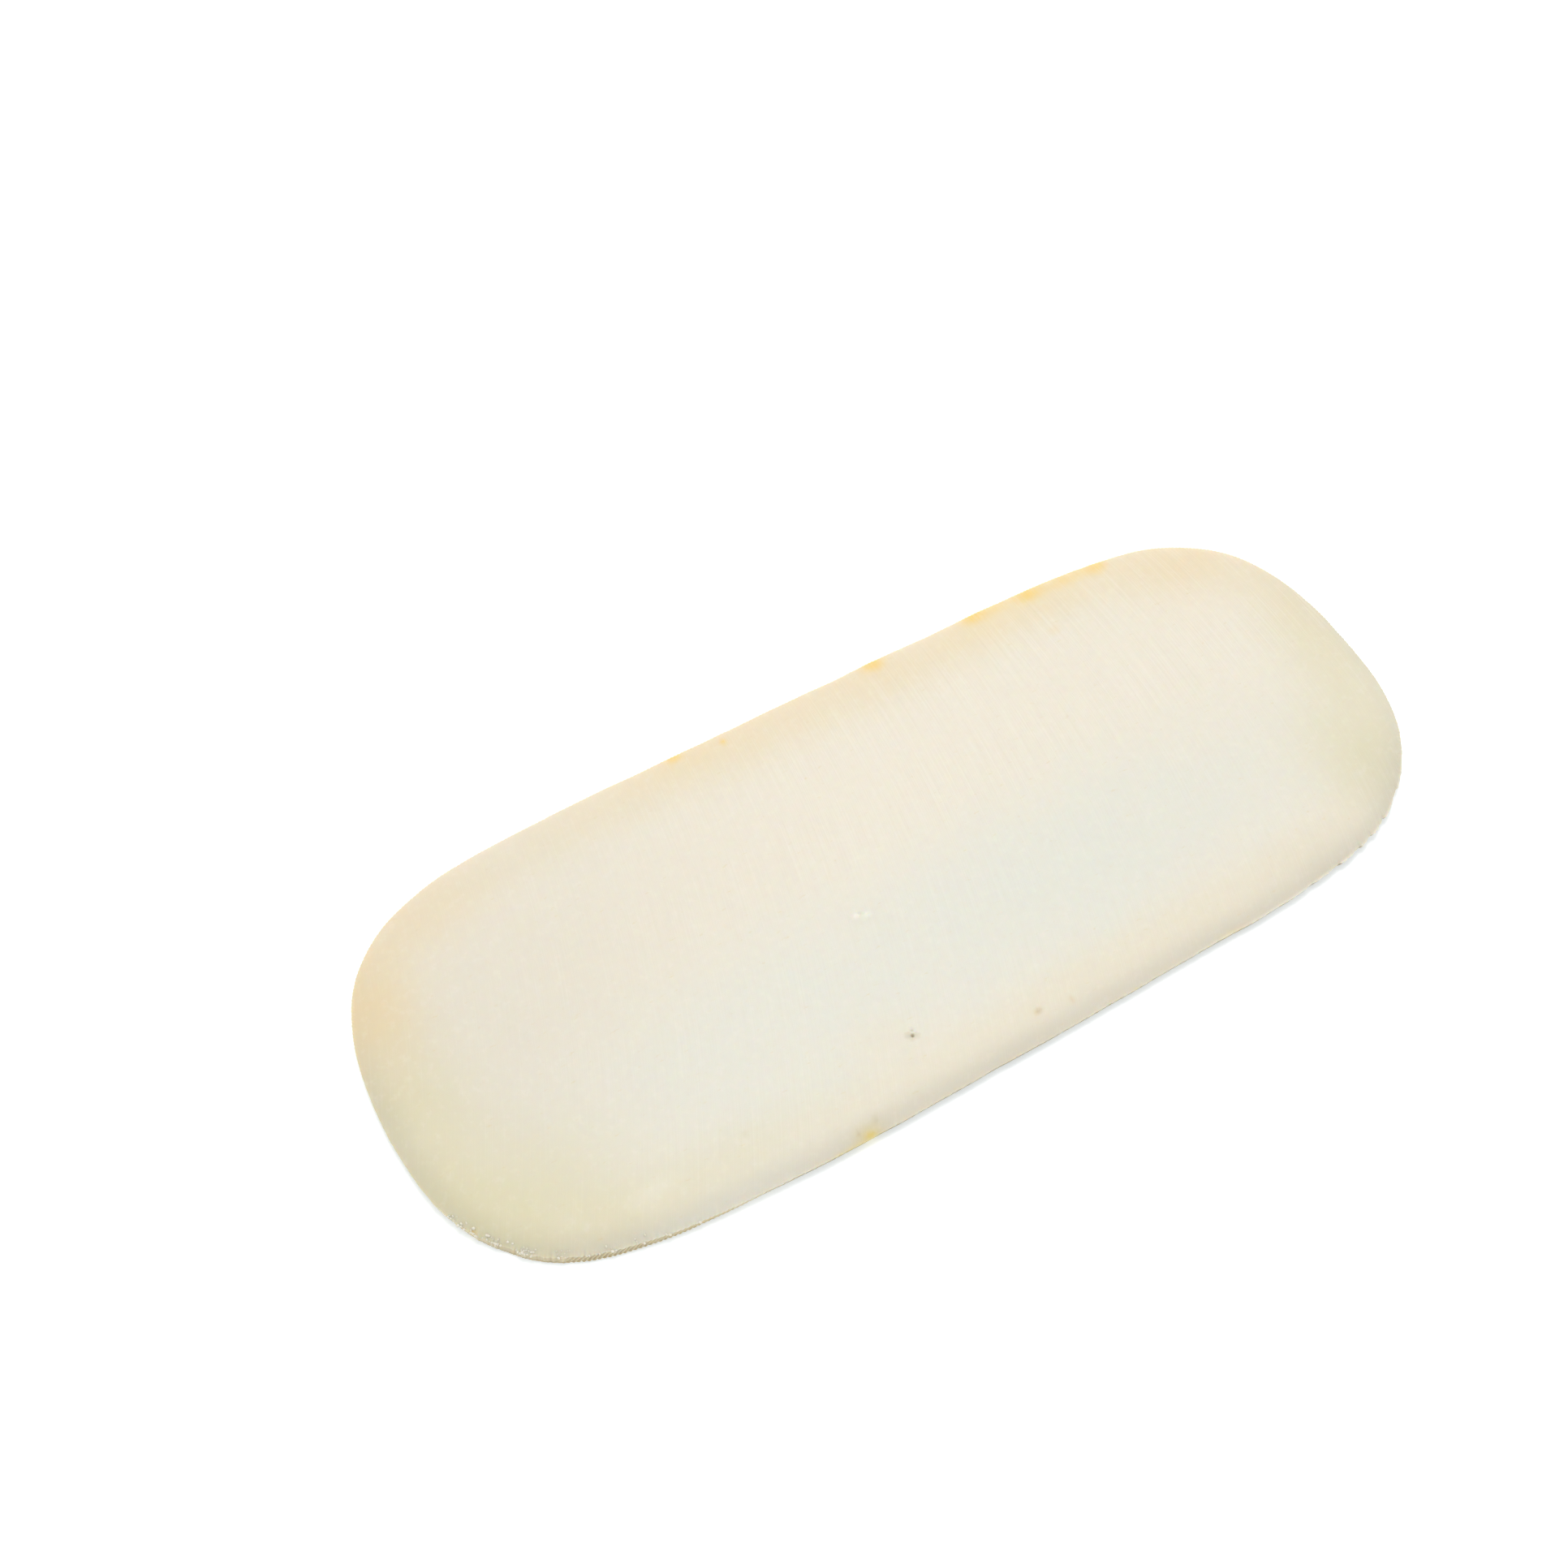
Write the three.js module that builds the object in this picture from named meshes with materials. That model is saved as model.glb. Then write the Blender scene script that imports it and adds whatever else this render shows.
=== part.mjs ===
// A thin slice of pale, semi-soft cheese, lying on one of its two cut faces.
// It is cut straight across a small loaf of cheese, so its outline is the loaf's cross-section:
// two long sides that are nearly straight, two bulging ends and four full shoulders.
// Units are millimetres. +X runs along the slice, +Y across it, and +Z up through its thickness.
// The origin is the middle of the underside's bounding box.
import * as THREE from 'three';

// Driving dimensions
const LENGTH = 150; // end to end, along X
const NEAR_DEPTH = 30.8; // from the long axis to the near long side, at -Y
const FAR_DEPTH = 30.6; // from the long axis to the far long side, at +Y
const THICKNESS = 2.5; // from one cut face to the other
const FAR_TAPER = 0.02; // how much closer the far side runs at +X, and further at -X
const NEAR_SHOULDER = 6; // fullness of the two near shoulders: higher is squarer
const FAR_SHOULDER = 7; // fullness of the two far shoulders
const END_BULGE = 2.35; // roundness of the ends: 2 is an ellipse's end, higher is flatter

// The soft rim is rounded over towards both cut faces.
const RIM_HEIGHT = 0.8; // height of each round-over
const RIM_WIDTH = 0.9; // how far each round-over reaches in from the rim
const RIM_STEPS = 3; // facets across one round-over
const OUTLINE_POINTS = 104; // points around the rim, closest together on the shoulders

// The loaf's cross-section as a closed curve, counterclockwise from the +X end.
class SliceOutline extends THREE.Curve {
  getPoint(t, target = new THREE.Vector3()) {
    const angle = 2 * Math.PI * t;
    const far = Math.sin(angle) >= 0;
    const along = roundedPower(Math.cos(angle), 2 / (far ? FAR_SHOULDER : NEAR_SHOULDER));
    const across = roundedPower(Math.sin(angle), 2 / END_BULGE);
    const depth = far ? FAR_DEPTH * (1 - FAR_TAPER * along) : NEAR_DEPTH;
    return target.set((along * LENGTH) / 2, across * depth, 0);
  }
}

function roundedPower(value, exponent) {
  return Math.sign(value) * Math.abs(value) ** exponent;
}

function outlineShape() {
  const points = new SliceOutline().getPoints(OUTLINE_POINTS).slice(0, -1);
  return new THREE.Shape(points.map((point) => new THREE.Vector2(point.x, point.y)));
}

function sliceGeometry() {
  const geometry = new THREE.ExtrudeGeometry(outlineShape(), {
    depth: THICKNESS - 2 * RIM_HEIGHT,
    steps: 1,
    bevelEnabled: true,
    bevelThickness: RIM_HEIGHT,
    bevelSize: RIM_WIDTH,
    bevelOffset: -RIM_WIDTH,
    bevelSegments: RIM_STEPS,
  });
  geometry.computeBoundingBox();
  const centre = geometry.boundingBox.getCenter(new THREE.Vector3());
  return geometry.translate(-centre.x, -centre.y, -geometry.boundingBox.min.z);
}

function cheeseSlice() {
  const paste = new THREE.MeshStandardMaterial({ color: 0xefe9da, roughness: 0.5, metalness: 0 });
  const mesh = new THREE.Mesh(sliceGeometry(), paste);
  mesh.name = 'cheese_slice';
  return mesh;
}

const part = new THREE.Group();
part.add(cheeseSlice());
export default part;
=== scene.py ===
import math

import bmesh
import bpy
import numpy as np
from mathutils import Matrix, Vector, kdtree, noise
from mathutils.geometry import delaunay_2d_cdt


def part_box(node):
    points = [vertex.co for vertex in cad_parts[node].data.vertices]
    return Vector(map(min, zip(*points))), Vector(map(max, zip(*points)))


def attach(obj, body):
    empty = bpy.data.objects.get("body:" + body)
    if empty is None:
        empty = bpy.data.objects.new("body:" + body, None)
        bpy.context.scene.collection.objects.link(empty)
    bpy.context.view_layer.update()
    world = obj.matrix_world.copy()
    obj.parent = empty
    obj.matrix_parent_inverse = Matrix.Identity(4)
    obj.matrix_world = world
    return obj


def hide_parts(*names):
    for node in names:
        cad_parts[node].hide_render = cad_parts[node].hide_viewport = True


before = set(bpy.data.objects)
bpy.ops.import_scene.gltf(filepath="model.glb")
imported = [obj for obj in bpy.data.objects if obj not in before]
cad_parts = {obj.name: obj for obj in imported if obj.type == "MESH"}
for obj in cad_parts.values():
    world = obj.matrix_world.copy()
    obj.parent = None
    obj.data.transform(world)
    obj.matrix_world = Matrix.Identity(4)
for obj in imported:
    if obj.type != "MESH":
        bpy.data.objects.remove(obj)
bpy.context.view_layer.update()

# --- The slice -------------------------------------------------------------------------
# One piece of pale, semi-soft cheese, cut straight across a small loaf with a blade. The cut
# faces are flat and faintly scored; the loaf's outside has dried into a firmer, tanned rim,
# and the soft edge slumps below the top face before it turns down into a thin, crumbly wall.

MM = 0.001

slice_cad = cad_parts["cheese_slice"]
slice_low, slice_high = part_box("cheese_slice")
THICKNESS = (slice_high[2] - slice_low[2]) / MM

RIM_STEP = 0.13  # mm between points of the rim, fine enough for saw teeth and crumbs
SLUMP_WIDTH = 4.4  # mm in from the rim where the top face starts to sag
SLUMP_DROP = 1.0  # mm that it has sagged at the lip, and a quarter of that on the far side
UNDERCUT = 0.25  # mm that the wall leans in, from the lip down to the table
FOOT_ROUND = 0.3  # mm in from the wall's foot to where the underside lies flat
FACE_STEP = 0.7  # mm between points of the top face
UNDERSIDE_STEP = 1.6  # mm between points of the underside
FACET_SMOOTHING = 1.6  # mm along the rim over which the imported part's facets are smoothed out


def rim_outline(node, step):
    """The CAD rim from above, in mm, as evenly spaced points smoothed across its facets."""
    points = np.array([v.co for v in node.data.vertices]) / MM
    middle = (points[:, 2].max() + points[:, 2].min()) / 2
    wall = points[np.abs(points[:, 2] - middle) < THICKNESS / 4, :2]
    corners = np.unique(np.round(wall, 3), axis=0)
    corners = corners[np.argsort(np.arctan2(corners[:, 1], corners[:, 0]))]
    ring = np.vstack([corners, corners[:1]])
    reach = np.r_[0, np.cumsum(np.hypot(*np.diff(ring, axis=0).T))]
    count = int(round(reach[-1] / step))
    at = np.arange(count) * reach[-1] / count
    even = np.c_[np.interp(at, reach, ring[:, 0]), np.interp(at, reach, ring[:, 1])]
    waves = np.fft.fftfreq(count, reach[-1] / count)
    soft = np.exp(-2 * (math.pi * FACET_SMOOTHING * waves) ** 2)
    return np.fft.ifft(np.fft.fft(even, axis=0) * soft[:, None], axis=0).real


def grain(points, size, seed=0.0):
    """Smooth noise from about -1 to 1 at each point, with bumps about size mm across."""
    return np.array([noise.noise((p[0] / size, p[1] / size, p[-1] / size + seed)) for p in points])


SCORE_LEAN = 2.56  # with the next two, a lean of 0.25 mm along X for each mm across, at the middle
SCORE_FAN = 0.00287  # less lean for each mm farther along X, so the scores spread like a fan
SCORE_POLE = 979  # mm along X to the score that would run straight


def blade_stroke(x, y):
    """A number that stays the same along each curved score of the blade, in mm across them."""
    return (x + SCORE_LEAN * y - SCORE_POLE) * np.exp(SCORE_FAN * y) + SCORE_POLE


def rise(value, low, high):
    """0 below low, 1 above high, and smooth in between."""
    share = np.clip((value - low) / (high - low), 0, 1)
    return share * share * (3 - 2 * share)


# Natural wander of the rim, on top of the CAD outline: slow waves, each as its height and
# length in mm and a seed, and shallow hollows in the near side, each as its middle and reach
# along X and its depth, in mm.
WAVES = ((0.15, 11, 3.1), (0.08, 4.2, 8.4))
HOLLOWS = (
    (28, 15, 0.65),
    (-40, 8, 0.35),
    (-54, 8, 0.5),
    (-65, 5, 0.2),
    (49, 8, 0.4),
    (65, 6, 0.35),
    (-4, 9, 0.2),
)
outline = rim_outline(slice_cad, RIM_STEP)
ahead = np.roll(outline, -1, axis=0) - np.roll(outline, 1, axis=0)
outward = np.c_[ahead[:, 1], -ahead[:, 0]] / np.hypot(*ahead.T)[:, None]
travel = np.arange(len(outline)) * RIM_STEP
near_side = 1 - rise(outline[:, 1], -24, 4)
far_side = rise(outline[:, 1], 0, 20)
flat = np.c_[outline, np.zeros(len(outline))]
wander = np.zeros(len(outline))
for swing, length, seed in WAVES:
    wander = wander + swing * grain(flat, length, seed)
for middle, reach, depth in HOLLOWS:
    wander = wander - depth * np.exp(-(((outline[:, 0] - middle) / reach) ** 2)) * near_side
outline = outline + outward * wander[:, None]

# The rim's cross-section, from the top face to the foot: slump rings, wall rings, foot rings.
# Each ring has its inset from the lip, its height, and its share of the way down the wall.
SLUMP_RINGS = 12
SLUMP_START = 1.15  # slump widths in from the lip, where the first ring lies, still level
SLUMP_CROWDING = 1.6  # power that crowds the rings toward the lip
SLUMP_BEND = 2.8  # power that leaves half of the sag to the last millimetre
FAR_FIRMNESS = 0.75  # share of the sag that the far side doesn't have
WALL_SHARES = np.linspace(0.12, 0.88, 6)
FOOT_TURN = 0.06  # share of the wall's height where it starts to turn under
lip_ring = SLUMP_RINGS - 1
slump_drop = SLUMP_DROP * (1 - FAR_FIRMNESS * far_side)
lip_height = THICKNESS - slump_drop
table_height = np.zeros(len(outline))
section = []
for share in np.linspace(1, 0, SLUMP_RINGS):
    inset = SLUMP_WIDTH * SLUMP_START * share**SLUMP_CROWDING
    sag = max(0.0, 1 - inset / SLUMP_WIDTH) ** SLUMP_BEND
    section.append((inset, THICKNESS - slump_drop * sag, 0.0))
for share in WALL_SHARES:
    section.append((0.0, lip_height * (1 - share), share))
section.append((FOOT_ROUND * 0.3, lip_height * FOOT_TURN, 1.0))
section.append((FOOT_ROUND, table_height, 1.0))
section.append((FOOT_ROUND + 1.0, table_height, 1.0))

# What the blade did to the rim, in mm: it tore the near left corner into short rags and left
# its foot standing out, sawed fine teeth into the near and far sides, most of all beside the
# torn corner, and nicked the near right corner.
NEAR_LEFT = (-67, -22.5)
NEAR_RIGHT = (60, -27)
TORN_REACH = 10
NEAR_PITCH = 0.64
NEAR_TOOTH = 0.25
NEAR_TOOTH_POWER = 1.2  # rounds the teeth's tips and widens the gaps between them
FAR_PITCH = 0.52
FAR_TOOTH = 0.16
SAWN_START = (-64, -61)  # along X, where the near teeth set in
SAWN_FADE = (-46, -36)  # along X, where they fade to a fifth
SAWN_END = (18, 48)  # along X, where they stop
RIGHT_SAWN = (64, 72)  # along X, where the right end's finer teeth set in
RAGS = ((0.5, 0.5, 5.0), (0.4, 1.3, 1.0))  # depth where fully ragged, length, seed
RAGGED_NEAR = 0.12  # how ragged the near side is, and next how much more its two corners are
RAGGED_LEFT = 0.6
RAGGED_RIGHT = 0.35
SAW_SLANT = 0.5  # mm along the rim for each mm down the wall
LEAN_NEAR = 0.12  # mm that the near wall leans in more than the rest
LEAN_RIGHT = 0.3  # mm more at the near right corner
SPREAD_FOOT = 0.7  # mm less at the torn corner, whose foot stands out
SPREAD_MIDDLE = (-61, -26)
SPREAD_REACH = 14
NICKS = (  # x, y, half length along the rim, depth
    (-70.6, -20.0, 4.0, 0.35),
    (46.0, -30.4, 1.0, 0.18),
    (50.5, -29.9, 1.5, 0.3),
    (54.7, -28.8, 1.3, 0.4),
    (57.1, -28.0, 1.2, 0.4),
    (60.0, -26.9, 1.5, 0.45),
    (64.6, -24.6, 1.8, 0.4),
)
torn_left = np.exp(-((np.hypot(*(outline - NEAR_LEFT).T) / TORN_REACH) ** 2))
spread_left = np.exp(-((np.hypot(*(outline - SPREAD_MIDDLE).T) / SPREAD_REACH) ** 2))
torn_right = np.exp(-((np.hypot(*(outline - NEAR_RIGHT).T) / TORN_REACH) ** 2))
sawn = rise(outline[:, 0], *SAWN_START) * (1 - rise(outline[:, 0], *SAWN_END)) * near_side
sawn = sawn * (1 - 0.8 * rise(outline[:, 0], *SAWN_FADE))
fine_saw = np.maximum(far_side, 0.7 * rise(outline[:, 0], *RIGHT_SAWN))
rags = np.zeros(len(outline))
for depth, length, seed in RAGS:
    rags = rags + depth * np.abs(grain(flat, length, seed))
rags = rags * (RAGGED_NEAR * near_side + RAGGED_LEFT * torn_left + RAGGED_RIGHT * torn_right)
for at_x, at_y, length, depth in NICKS:
    at = travel[np.argmin(np.hypot(outline[:, 0] - at_x, outline[:, 1] - at_y))]
    back = (travel - at) / length
    rags = rags - depth * np.where(np.abs(back) < 1, (1 + back) / 2, 0) * (1 - back**6).clip(0)

lean = UNDERCUT + LEAN_NEAR * near_side + LEAN_RIGHT * torn_right - SPREAD_FOOT * spread_left
BLADE_MARK = 0.5  # mm in from the lip that teeth and rags reach
TORN_DOWN = 0.8  # share of the wall's height that the rags reach down
ROUGHNESS = 0.05  # mm
ROUGH_SIZE = 0.7  # mm across one bump of it
rings = []
tooth_gap_shade_rings = []
for index, (inset, height, down) in enumerate(section):
    edge = math.exp(-((inset / BLADE_MARK) ** 2))
    torn = edge * math.exp(-((down / TORN_DOWN) ** 2))
    slant = SAW_SLANT * down * THICKNESS
    near_tooth = np.abs(np.sin(math.pi * (travel + slant) / NEAR_PITCH)) ** NEAR_TOOTH_POWER - 1
    far_tooth = np.abs(np.sin(math.pi * (travel - slant) / FAR_PITCH)) - 1
    near_saw = NEAR_TOOTH * near_tooth * sawn * min(1.0, 0.35 + 2 * down)
    saw = near_saw + FAR_TOOTH * far_tooth * fine_saw
    rough = ROUGHNESS * grain(np.c_[outline, height], ROUGH_SIZE, 6.0)
    shift = -inset - lean * down**1.2 + torn * (rags + rough) + edge * saw
    lift = torn * 0.3 * rags if index <= lip_ring else 0.0
    rings.append(np.c_[outline + outward * shift[:, None], height + lift])
    # Painted shade for the gaps between the saw teeth, on the wall.
    gaps = near_tooth**2 * sawn + 0.5 * far_tooth**2 * fine_saw
    tooth_gap_shade_rings.append(gaps * edge * min(1.0, 4 * down))

# Small features of the top face: (x, y, radius, depth) in mm, a negative depth is a bump. Each
# gets rings of its own points, at these shares of its radius.
DENT_RINGS = (0.35, 0.8, 1.3)
DENT_SPOKES = 12
DENT_CLEAR = 0.3  # mm around those points where the grid of the top face has none
DENTS = (
    (-11.6, -21.8, 0.26, 0.4),
    (-11.3, -21.2, 0.2, 0.2),
    (4.3, -26.8, 0.4, 0.2),
    (3.6, -27.3, 0.3, 0.14),
    (5.0, -26.5, 0.25, 0.14),
    (8.8, -27.8, 0.3, 0.14),
    (-8.9, -3.6, 0.7, -0.3),
    (-7.5, -4.0, 0.55, -0.24),
    (-8.2, -3.4, 0.35, 0.2),
    (-54.0, -24.6, 0.5, -0.1),
    (-53.0, -25.0, 0.6, -0.08),
    (-21.6, -29.1, 0.4, 0.05),
    (-24.4, -29.6, 0.25, 0.08),
)


def grid_inside(loop, step, margin):
    """A grid of staggered points inside a closed loop, at least margin mm from it."""
    low, high = loop.min(axis=0), loop.max(axis=0)
    rows = np.arange(low[1], high[1], step * math.sqrt(3) / 2)
    points = []
    for number, y in enumerate(rows):
        x = np.arange(low[0], high[0], step) + step / 2 * (number % 2)
        points.append(np.c_[x, np.full(len(x), y)])
    points = np.vstack(points)
    inside = np.zeros(len(points), bool)
    for (x0, y0), (x1, y1) in zip(loop, np.roll(loop, -1, axis=0)):
        if y0 != y1:
            crosses = (y0 > points[:, 1]) != (y1 > points[:, 1])
            inside ^= crosses & (points[:, 0] < (x1 - x0) * (points[:, 1] - y0) / (y1 - y0) + x0)
    tree = kdtree.KDTree(len(loop))
    for number, p in enumerate(loop):
        tree.insert((p[0], p[1], 0), number)
    tree.balance()
    clear = np.array([tree.find((p[0], p[1], 0))[2] > margin for p in points])
    return points[inside & clear]


def fill(loop, inner):
    """Triangles that join a closed loop to the points inside it; the loop's points come first."""
    points = [Vector(p) for p in np.vstack([loop, inner])]
    return delaunay_2d_cdt(points, [], [list(range(len(loop)))], 1, 1e-7)[2]


top_loop = rings[0][:, :2]
face_points = grid_inside(top_loop, FACE_STEP, FACE_STEP * 0.55)
fine = []
for x, y, radius, depth in DENTS:
    turns = np.linspace(0, 2 * math.pi, DENT_SPOKES, endpoint=False)
    for share in DENT_RINGS:
        fine.append(np.c_[x + radius * share * np.cos(turns), y + radius * share * np.sin(turns)])
fine = np.vstack(fine)
away = np.min(np.hypot(*(face_points[:, None] - fine[None]).transpose(2, 0, 1)), axis=1)
face_points = np.vstack([face_points[away > DENT_CLEAR], fine])
under_loop = rings[-1][:, :2]
under_points = grid_inside(under_loop, UNDERSIDE_STEP, UNDERSIDE_STEP * 0.5)

ring_size = len(outline)
ring_count = len(rings)
top_start = ring_size * ring_count
under_start = top_start + len(face_points)
vertices = np.vstack(
    rings
    + [np.c_[face_points, np.full(len(face_points), THICKNESS)]]
    + [np.c_[under_points, np.zeros(len(under_points))]]
)
faces = []
for ring in range(ring_count - 1):
    upper, lower = ring * ring_size, (ring + 1) * ring_size
    for i in range(ring_size):
        j = (i + 1) % ring_size
        faces.append((upper + j, upper + i, lower + i, lower + j))
for triangle in fill(top_loop, face_points):
    faces.append([i if i < ring_size else top_start + i - ring_size for i in triangle])
foot_start = ring_size * (ring_count - 1)
for triangle in fill(under_loop, under_points):
    turned = reversed(triangle)
    faces.append([foot_start + i if i < ring_size else under_start + i - ring_size for i in turned])

# The top face: a slow unevenness in thickness, coarse scores of the blade, strongest toward the
# far right, then the features.
UNEVEN = 0.045  # mm
UNEVEN_SIZE = 24  # mm across one rise or hollow of it
RIB_HEIGHT = 0.007  # mm
RIB_WIDTH = 1.7  # mm
RIB_LENGTH = 26  # mm
x, y, z = vertices.T
floor_xy = np.c_[x, y, np.zeros(len(x))]
upper_part = rise(z, THICKNESS - SLUMP_DROP * 1.2, THICKNESS - SLUMP_DROP)
far_right = rise(y, -12, 12) * rise(x, -40, 20)
rib_place = np.c_[blade_stroke(x, y) / RIB_WIDTH, y / RIB_LENGTH, np.zeros(len(x))]
ribs = RIB_HEIGHT * (0.15 + 0.85 * far_right) * grain(rib_place, 1, 4.0)
z = z + upper_part * (UNEVEN * grain(floor_xy, UNEVEN_SIZE, 2.0) + ribs)
for dent_x, dent_y, radius, depth in DENTS:
    away = np.hypot(x - dent_x, y - dent_y) / radius
    z = z - upper_part * depth * np.exp(-(away**2))
vertices = np.c_[x, y, z]

slice_mesh = bpy.data.meshes.new("cheese_slice_paste")
slice_mesh.from_pydata((vertices * MM).tolist(), [], faces)
slice_mesh.update()
slice_mesh.shade_smooth()
slice_piece = bpy.data.objects.new("cheese_slice_paste", slice_mesh)
bpy.context.scene.collection.objects.link(slice_piece)

# Where the paste has coloured, and where shade and highlight are painted on it: (x, y, reach
# along X, reach along Y) in mm, and a strength.
PEACH = (
    (-71, 18, 7, 10, 0.7),
    (-60, 27, 11, 7, 0.4),
    (-12, 30.5, 30, 5.5, 0.34),
    (24, 29, 36, 6.5, 0.3),
    (65, 24, 12, 8, 0.5),
    (72, 12, 5, 8, 0.2),
    (39.7, 22, 1.1, 0.8, 0.4),
    (-15, -20, 5, 3, 0.12),
    (30, -25, 24, 4, 0.05),
)
AMBER = (
    (-71.4, -16.9, 0.5, 0.4, 0.8),
    (-17.6, 29.4, 7, 2.4, 0.1),
    (-17.6, 30.4, 1.2, 0.9, 0.75),
    (-10.5, 29.2, 0.5, 0.5, 0.7),
    (14.2, 30.0, 1.8, 1.3, 0.75),
    (30.8, 29.8, 1.8, 1.2, 0.7),
    (34, 29.6, 4, 1.2, 0.5),
    (39.9, 29.2, 2.2, 1.4, 0.8),
    (43, 29.0, 4, 1.1, 0.3),
    (47.5, 28.8, 3.5, 1.3, 0.5),
    (51.2, 28.4, 1.7, 1.3, 0.8),
    (38, 27.5, 16, 3, 0.16),
    (33, -30.6, 2.4, 0.8, 0.3),
    (4.0, -26.9, 0.6, 0.45, 0.25),
    (8.8, -27.8, 0.5, 0.4, 0.2),
)
YELLOW = (
    (-23.1, -30.4, 0.8, 0.42, 0.66),
    (-23.2, -30.2, 2.2, 1.1, 0.34),
    (-26.0, -30.9, 2.8, 0.45, 0.4),
)
OLIVE = (
    (-72, -5, 9, 20, 0.45),
    (-63, -18, 12, 9, 0.4),
    (-46, -24, 18, 4, 0.2),
    (71, 0, 7, 14, 0.3),
    (64, -15, 8, 9, 0.32),
)
# Painted shade: a cooler, greyer tint over the near half of the face and along the near lip.
COOL_SHADE_PATCHES = (
    (-20, -12, 36, 12, 0.7),
    (24, -11, 38, 13, 0.8),
    (-3, -22, 3.5, 2.5, 0.3),
    (18, -19, 7, 3.5, 0.3),
    (-44, -29.5, 14, 2.6, 0.5),
    (-34, -23, 16, 5, 0.35),
)
PITS = (
    (-11.6, -21.8, 0.32, 0.28, 0.7),
    (4.2, -26.9, 0.6, 0.3, 0.3),
    (8.8, -27.8, 0.3, 0.25, 0.22),
    (-21.6, -29.1, 0.5, 0.35, 0.15),
    (-24.4, -29.6, 0.25, 0.25, 0.25),
    (-36.5, -22.9, 0.3, 0.25, 0.15),
)
# Pale paste; on the raised double bump near the middle, partly a painted highlight.
PALE_AND_HIGHLIGHT_PATCHES = (
    (-8.9, -3.5, 0.6, 0.4, 0.6),
    (-7.5, -4.1, 0.5, 0.35, 0.6),
    (-10.2, -24.6, 1.2, 0.6, 0.15),
    (-50, -23.5, 3.5, 1.2, 0.2),
)
# Painted shade: greyer patches over the left part of the face, at both ends and at the near rim.
PAINTED_SHADE_PATCHES = (
    (-64, 4, 30, 30, 0.2),
    (-30, 16, 26, 20, 0.06),
    (67, -22, 7, 7, 0.42),
    (-72, 16, 5, 9, 0.4),
    (50, -28, 12, 4, 0.15),
    (-75, -3, 4, 14, 0.2),
)

x, y, z = vertices.T
rim_tree = kdtree.KDTree(ring_size)
for number, p in enumerate(outline):
    rim_tree.insert((p[0], p[1], 0), number)
rim_tree.balance()
from_rim = np.array([rim_tree.find((p[0], p[1], 0))[2] for p in vertices])
on_wall = (np.arange(len(x)) // ring_size > lip_ring) & (np.arange(len(x)) < top_start)
toward_far = rise(y, 5, 24)
near_middle = rise(x, -44, -30) * (1 - rise(y, -26, -18))


def stain(patches):
    """How strongly the patches colour each vertex, from 0 to 1, soft at their edges."""
    clear = np.ones(len(x))
    for at_x, at_y, length, depth, strength in patches:
        spread = ((x - at_x) / length) ** 2 + ((y - at_y) / depth) ** 2
        clear *= 1 - strength * np.exp(-(spread**1.2))
    return 1 - clear


# Besides the patches: painted shade makes the sagging edge greyer, except on the far side,
# and a tan band lies inside it. The wall is tan; painted shade makes it dark at its foot, and
# dark all the way up along most of the near side, under the lip, and darkens the gaps
# between the saw teeth. A painted highlight makes a pale line along the near right lip.
LIP_SHADE_WIDTH = 2.3  # mm
LIP_HIGHLIGHT_WIDTH = 0.15  # mm
TAN_INSET = 4.5  # mm from the rim to the middle of the band
TAN_WIDTH = 3.2  # mm
# Painted shade in the gaps between the saw teeth, for each point of the rings.
groove_shade_values = np.zeros(len(x))
groove_shade_values[:top_start] = np.concatenate(tooth_gap_shade_rings)
# Painted shade: the sagging edge greyer, except on the far side.
painted_lip_shade = 0.42 * np.exp(-((from_rim / LIP_SHADE_WIDTH) ** 2)) * (1 - toward_far)
# Painted highlight: a thin pale line along the near right lip.
painted_lip_highlight = 0.5 * np.exp(-((from_rim / LIP_HIGHLIGHT_WIDTH) ** 2))
painted_lip_highlight = painted_lip_highlight * rise(x, 15, 45) * (1 - rise(y, -25, -15)) * ~on_wall
# Painted shade: dark at the wall's foot by the table, and up the near middle's wall under the lip.
painted_foot_shade = 0.6 * (1 - rise(z, 0.1, 0.8))
painted_wall_shade = 0.85 * near_middle * (1 - rise(z, 1.3, 2.1))
shades = {
    "painted_shade": 1 - (1 - stain(PAINTED_SHADE_PATCHES)) * (1 - painted_lip_shade),
    "painted_cool_shade": stain(COOL_SHADE_PATCHES),
    "tan": 0.17 * np.exp(-(((from_rim - TAN_INSET) / TAN_WIDTH) ** 2)),
    "olive": stain(OLIVE),
    "wall": on_wall * 0.9,
    "foot": on_wall * np.maximum(painted_foot_shade, painted_wall_shade),
    "pale": 1 - (1 - stain(PALE_AND_HIGHLIGHT_PATCHES)) * (1 - painted_lip_highlight),
    "painted_groove_shade": 0.32 * groove_shade_values,
    "peach": stain(PEACH),
    "amber": stain(AMBER) * (0.3 + 0.7 * rise(z, 0.2, 2.2)),
    "yellow": stain(YELLOW),
    "pit": stain(PITS),
    "dry": 1 - rise(from_rim, 0.5, 5),
    "scored": 0.18 + 0.14 * rise(x, -62, -40) + 0.45 * rise(y, -10, 15) * rise(x, -40, 20),
    "ribbed": 0.1 + 0.9 * far_right,
}
for name, values in shades.items():
    layer = slice_mesh.attributes.new(name, "FLOAT", "POINT")
    layer.data.foreach_set("value", values.astype(np.float32))
layer = slice_mesh.attributes.new("score_place", "FLOAT_VECTOR", "POINT")
score_place = np.c_[blade_stroke(x, y), y, z]
layer.data.foreach_set("vector", score_place.astype(np.float32).ravel())


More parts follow.
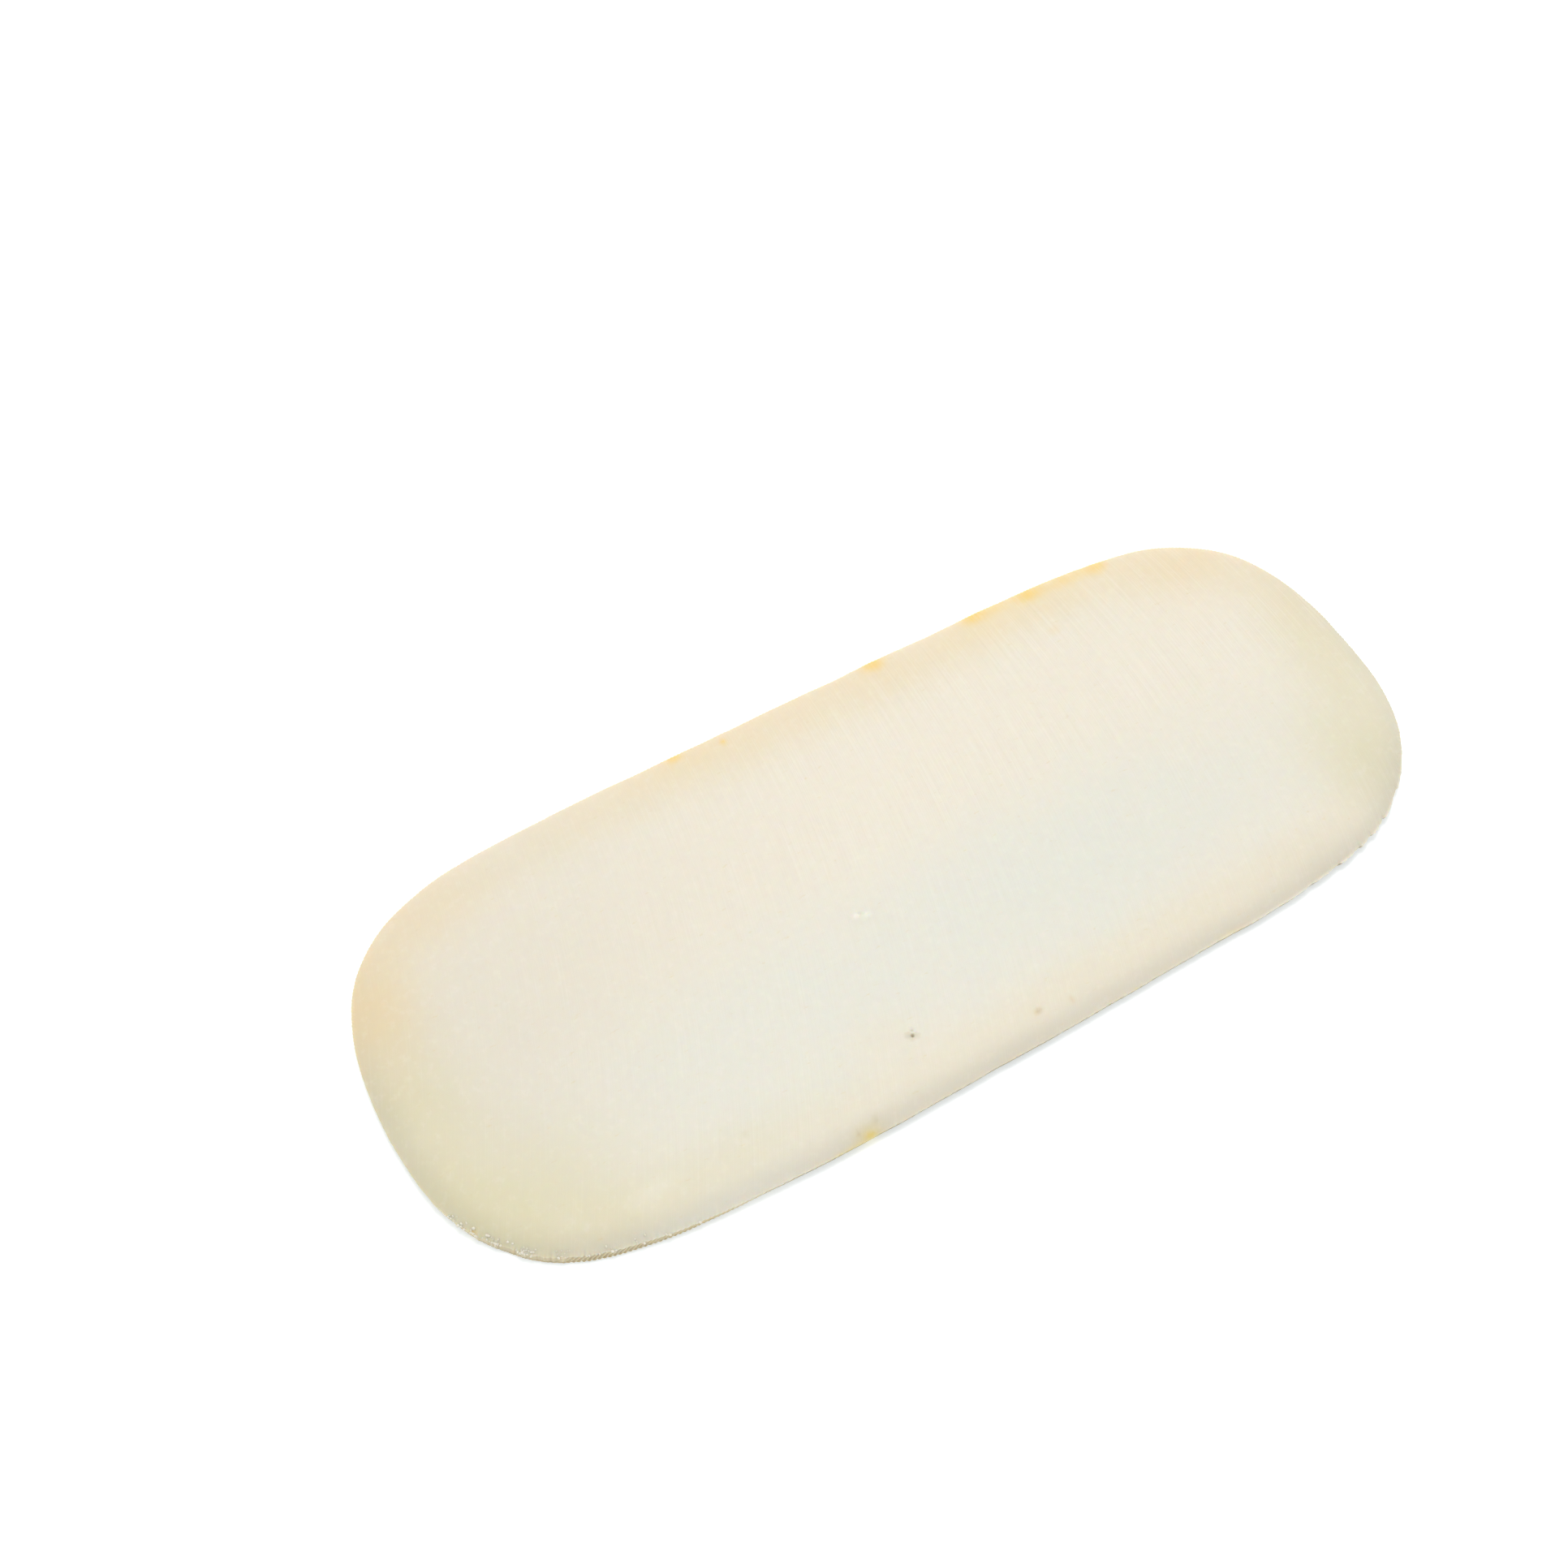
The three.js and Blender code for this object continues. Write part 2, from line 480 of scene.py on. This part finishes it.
def linear(code):
    """A colour written as sRGB hex, as linear RGBA."""
    parts = [int(code[i : i + 2], 16) / 255 for i in (1, 3, 5)]
    return [p / 12.92 if p <= 0.04045 else ((p + 0.055) / 1.055) ** 2.4 for p in parts] + [1.0]


def add(tree, kind, inputs=(), **settings):
    """Adds a node with its settings; each input takes a value or the socket that feeds it."""
    made = tree.nodes.new("ShaderNode" + kind)
    for name, value in settings.items():
        setattr(made, name, value)
    for socket, value in dict(inputs).items():
        if isinstance(value, bpy.types.NodeSocket):
            tree.links.new(value, made.inputs[socket])
        else:
            made.inputs[socket].default_value = value
    return made


# Semi-soft cheese paste, blade cut: light goes about a millimetre into it, so edges glow and
# fine scores stay soft. The cut face is satin with a little free fat; the dry rim is duller.
PASTE = "#E9E2D3"
# Colours of the stains, and of the painted shade and painted highlight among the marks.
SHADE_COLOURS = {
    "painted_shade": "#C4BFAE",
    "painted_cool_shade": "#E1E1D7",
    "tan": "#DED1A9",
    "olive": "#D8D1A4",
    "wall": "#CEBF9B",
    "foot": "#94866A",
    "pale": "#F4F1EA",
    "painted_groove_shade": "#8E7F5E",
    "peach": "#EAD4A9",
    "amber": "#EFD076",
    "yellow": "#E0CC72",
    "pit": "#A88A52",
}
FLECK = "#DCCB9F"
SCORE_LIGHT = "#F3EEE2"
SCORE_DARK = "#DCD3BF"
SCORE_WIDTH = 0.15  # mm from a light score to the dark one beside it, so three of each to a mm
SCORE_LENGTH = 15  # mm that one score runs before it fades
WIDER = 5  # times as wide, for the coarse scores
LONGER = 1.6  # times as long
FLECK_LENGTH = 1.6  # mm along X, of the small tan flecks in the paste
FLECK_WIDTH = 0.6  # mm
CLOUD = 9  # mm across the cloudy patches of the paste
CURD = 1.1  # mm across the curd grains that show in it
SATIN = 0.46  # roughness of the moist cut face
DRY_SATIN = 0.62  # roughness at the dry rim

paste = bpy.data.materials.new("semi_soft_cheese_paste")
paste.use_nodes = True
tree = paste.node_tree
tree.nodes.clear()
place = add(tree, "TexCoord").outputs["Object"]
along_scores = add(tree, "Attribute", attribute_name="score_place").outputs["Vector"]
noises = {}
for name, source, scale, detail in (
    ("cloud", place, (1 / CLOUD / MM,) * 3, 3.0),
    ("curd", place, (1 / CURD / MM,) * 3, 3.0),
    ("fleck", place, (1 / FLECK_LENGTH / MM, 1 / FLECK_WIDTH / MM, 0), 2.0),
    ("score", along_scores, (1 / SCORE_WIDTH, 1 / SCORE_LENGTH, 0), 1.0),
    ("wide_score", along_scores, (1 / SCORE_WIDTH / WIDER, 1 / SCORE_LENGTH / LONGER, 0), 2.0),
):
    scaled = add(tree, "Mapping", {"Vector": source, "Scale": scale}).outputs[0]
    inputs = {"Vector": scaled, "Scale": 1.0, "Detail": detail, "Roughness": 0.6}
    noises[name] = add(tree, "TexNoise", inputs).outputs["Fac"]

# Each colour of the patches, made a little stronger and weaker by the clouds.
inputs = {"Value": noises["cloud"], "From Min": 0.25, "From Max": 0.75, "To Min": 0.75, "To Max": 1.15}
uneven = add(tree, "MapRange", inputs).outputs[0]
colour = linear(PASTE)
for name, code in SHADE_COLOURS.items():
    share = add(tree, "Attribute", attribute_name=name).outputs["Fac"]
    share = add(tree, "Math", {0: share, 1: uneven}, operation="MULTIPLY").outputs[0]
    colour = add(tree, "Mix", {0: share, 6: colour, 7: linear(code)}, data_type="RGBA").outputs[2]
scored = add(tree, "Attribute", attribute_name="scored").outputs["Fac"]
ribbed = add(tree, "Attribute", attribute_name="ribbed").outputs["Fac"]
# Fine marks: each is a noise, where it shows, the noise's range, its most, and its colour.
for name, where, low, high, most, code in (
    ("curd", 1.0, 0.50, 0.75, 0.16, SCORE_LIGHT),
    ("curd", 1.0, 0.50, 0.25, 0.12, SCORE_DARK),
    ("fleck", 1.0, 0.64, 0.78, 0.34, FLECK),
    ("score", scored, 0.50, 0.72, 0.34, SCORE_LIGHT),
    ("score", scored, 0.50, 0.28, 0.26, SCORE_DARK),
    ("wide_score", ribbed, 0.50, 0.75, 0.06, SCORE_LIGHT),
    ("wide_score", ribbed, 0.50, 0.25, 0.05, SCORE_DARK),
):
    inputs = {"Value": noises[name], "From Min": low, "From Max": high, "To Min": 0.0, "To Max": most}
    share = add(tree, "MapRange", inputs, interpolation_type="SMOOTHSTEP").outputs[0]
    share = add(tree, "Math", {0: share, 1: where}, operation="MULTIPLY").outputs[0]
    colour = add(tree, "Mix", {0: share, 6: colour, 7: linear(code)}, data_type="RGBA").outputs[2]

# The same scores and grains, as heights in mm.
WIDE_SCORE_DEPTH = 0.009
SCORE_DEPTH = 0.005
CURD_HEIGHT = 0.01
inputs = {0: noises["wide_score"], 1: WIDE_SCORE_DEPTH}
height = add(tree, "Math", inputs, operation="MULTIPLY").outputs[0]
height = add(tree, "Math", {0: height, 1: ribbed}, operation="MULTIPLY").outputs[0]
for name, size in (("score", SCORE_DEPTH), ("curd", CURD_HEIGHT)):
    inputs = {0: noises[name], 1: size, 2: height}
    height = add(tree, "Math", inputs, operation="MULTIPLY_ADD").outputs[0]
bump = add(tree, "Bump", {"Strength": 1.0, "Distance": MM, "Height": height})
dry = add(tree, "Attribute", attribute_name="dry").outputs["Fac"]
inputs = {"Value": dry, "To Min": SATIN, "To Max": DRY_SATIN}
gloss = add(tree, "MapRange", inputs).outputs[0]
shader = add(
    tree,
    "BsdfPrincipled",
    {
        "Base Color": colour,
        "Roughness": gloss,
        "Normal": bump.outputs["Normal"],
        "IOR": 1.45,
        "Specular IOR Level": 0.35,
        "Subsurface Weight": 1.0,
        "Subsurface Radius": (1.0, 0.72, 0.42),
        "Subsurface Scale": 0.9 * MM,
    },
    subsurface_method="RANDOM_WALK",
)
add(tree, "OutputMaterial", {"Surface": shader.outputs["BSDF"]})
slice_mesh.materials.append(paste)

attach(slice_piece, "root")
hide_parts("cheese_slice")

# --- The crumbs ------------------------------------------------------------------------
# Crumbs of the same paste, about a quarter of a millimetre across, that the blade tore off and
# left stuck along the lip, nearly all at the near left corner, in clusters with gaps between.

CRUMBS = 110
CRUMB_SIZE = (0.07, 0.18)  # mm of radius
CRUMB_SCATTER = 0.12  # mm sideways from the lip's own points
CLUSTER = 2.6  # mm along the lip of one cluster, or of the gap beside it
HEAPS = (  # x, y, reach, weight
    (-67, -22.5, 8.0, 1.0),
    (-54, -29, 7.0, 0.4),
    (59.7, -27.2, 0.6, 0.5),
    (57, 28, 1.0, 0.35),
)
lump = bmesh.new()
bmesh.ops.create_icosphere(lump, subdivisions=2, radius=1)
lump_points = np.array([v.co for v in lump.verts])
lump_faces = [[v.index for v in f.verts] for f in lump.faces]
lump.free()
dice = np.random.default_rng(11)
chances = np.zeros(ring_size)
for heap_x, heap_y, reach, weight in HEAPS:
    chances += weight * np.exp(-((np.hypot(*(outline - (heap_x, heap_y)).T) / reach) ** 2))
chances *= 0.1 + rise(grain(flat, CLUSTER, 7.7), -0.1, 0.35)
crumb_points = []
crumb_faces = []
for at in dice.choice(ring_size, CRUMBS, p=chances / chances.sum()):
    middle = rings[lip_ring - dice.integers(0, 4)][at]
    middle = middle + dice.uniform(-CRUMB_SCATTER, CRUMB_SCATTER, 3) * (1, 1, 0)
    radius = dice.uniform(*CRUMB_SIZE)
    shape = lump_points * radius * dice.uniform(0.7, 1.4, 3)
    shape = shape * (1 + 0.4 * grain(lump_points + middle, 0.9))[:, None]
    shape[:, 2] = shape[:, 2] * 0.8 - 0.15 * radius
    start = len(crumb_points) * len(lump_points)
    crumb_faces += [[start + i for i in face] for face in lump_faces]
    crumb_points.append(middle + shape)

crumb_mesh = bpy.data.meshes.new("lip_crumbs")
crumb_mesh.from_pydata((np.vstack(crumb_points) * MM).tolist(), [], crumb_faces)
crumb_mesh.update()
crumb_mesh.shade_smooth()
crumb_piece = bpy.data.objects.new("lip_crumbs", crumb_mesh)
bpy.context.scene.collection.objects.link(crumb_piece)

# Torn cheese: rougher than the cut face, so it scatters the light at its surface and looks
# whiter and duller than the face does.
CRUMB_WHITE = "#EDE9DC"
CRUMB_CREAM = "#E4DCC6"
BLOTCH = 0.3  # mm across one patch of either colour
crumb_paste = bpy.data.materials.new("torn_cheese_crumb")
crumb_paste.use_nodes = True
tree = crumb_paste.node_tree
tree.nodes.clear()
place = add(tree, "TexCoord").outputs["Object"]
blotch = add(tree, "TexNoise", {"Vector": place, "Scale": 1 / BLOTCH / MM, "Detail": 2.0})
blotch = add(tree, "MapRange", {"Value": blotch.outputs["Fac"], "From Min": 0.35, "From Max": 0.65})
inputs = {0: blotch.outputs[0], 6: linear(CRUMB_WHITE), 7: linear(CRUMB_CREAM)}
colour = add(tree, "Mix", inputs, data_type="RGBA").outputs[2]
shader = add(
    tree,
    "BsdfPrincipled",
    {
        "Base Color": colour,
        "Roughness": 0.6,
        "IOR": 1.45,
        "Specular IOR Level": 0.2,
    },
)
add(tree, "OutputMaterial", {"Surface": shader.outputs["BSDF"]})
crumb_mesh.materials.append(crumb_paste)

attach(crumb_piece, "root")
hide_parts("cheese_slice")

# --- The table -------------------------------------------------------------------------
# A plain sheet of white opal acrylic, much larger than the slice, that it lies on. It is lit
# faintly from below, which keeps the slice's shadow thin.

TABLE_HALF = 6.0  # m
ACRYLIC = "#FAFAFB"
TABLE_GLOW = 0.34
table_mesh = bpy.data.meshes.new("table_top")
corners = [(-1, -1), (1, -1), (1, 1), (-1, 1)]
corners = [(cx * TABLE_HALF, cy * TABLE_HALF, slice_low[2]) for cx, cy in corners]
table_mesh.from_pydata(corners, [], [(0, 1, 2, 3)])
table_top = bpy.data.objects.new("table_top", table_mesh)
bpy.context.scene.collection.objects.link(table_top)

# Opal acrylic, rolled matt: an even white that reflects almost nothing of what lies on it.
acrylic = bpy.data.materials.new("white_opal_acrylic")
acrylic.use_nodes = True
acrylic_shader = acrylic.node_tree.nodes["Principled BSDF"]
acrylic_shader.inputs["Base Color"].default_value = linear(ACRYLIC)
acrylic_shader.inputs["Roughness"].default_value = 0.85
acrylic_shader.inputs["Specular IOR Level"].default_value = 0.1
acrylic_shader.inputs["Emission Color"].default_value = (0.85, 0.95, 1.0, 1.0)
acrylic_shader.inputs["Emission Strength"].default_value = TABLE_GLOW
table_mesh.materials.append(acrylic)

# --- The light -------------------------------------------------------------------------
# A bright white room gives most of the light, from all sides. One soft, slightly warm window
# hangs high up behind the slice, a little to its right.

WINDOW_SIDE = 0.3  # m
WINDOW_POWER = 1.86  # W
ROOM_BRIGHTNESS = 0.7
WINDOW_AT = Vector((0.07, 0.15, 0.62))  # m
window = bpy.data.lights.new("soft_window", "AREA")
window.size = WINDOW_SIDE
window.energy = WINDOW_POWER
window.color = (1.0, 0.978, 0.945)
window_lamp = bpy.data.objects.new("soft_window", window)
window_lamp.location = WINDOW_AT
window_lamp.rotation_euler = (-WINDOW_AT).to_track_quat("-Z", "Y").to_euler()
bpy.context.scene.collection.objects.link(window_lamp)

room = bpy.data.worlds.new("white_room")
room.use_nodes = True
room.node_tree.nodes["Background"].inputs["Color"].default_value = (0.955, 0.98, 1.0, 1.0)
room.node_tree.nodes["Background"].inputs["Strength"].default_value = ROOM_BRIGHTNESS
bpy.context.scene.world = room
bpy.context.scene.view_settings.view_transform = "Standard"

# --- The camera ------------------------------------------------------------------------
# A 50 mm lens on a 36 mm wide frame, about 0.3 m away, looking down on the slice from beyond
# its near left corner.

CAMERA_AZIMUTH = math.radians(-30.3)
CAMERA_ELEVATION = math.radians(57.93)
CAMERA_DISTANCE = 0.2974  # m
CAMERA_AIM = Vector((-0.0065, 0.0193, 0.0019))  # m
camera_data = bpy.data.cameras.new("camera")
camera_data.lens = 50
camera_data.sensor_width = 36
camera_data.clip_start = 0.01
camera = bpy.data.objects.new("camera", camera_data)
back = Vector(
    (
        math.sin(CAMERA_AZIMUTH) * math.cos(CAMERA_ELEVATION),
        -math.cos(CAMERA_AZIMUTH) * math.cos(CAMERA_ELEVATION),
        math.sin(CAMERA_ELEVATION),
    )
)
camera.location = CAMERA_AIM + back * CAMERA_DISTANCE
camera.rotation_euler = (-back).to_track_quat("-Z", "Y").to_euler()
bpy.context.scene.collection.objects.link(camera)
bpy.context.scene.camera = camera
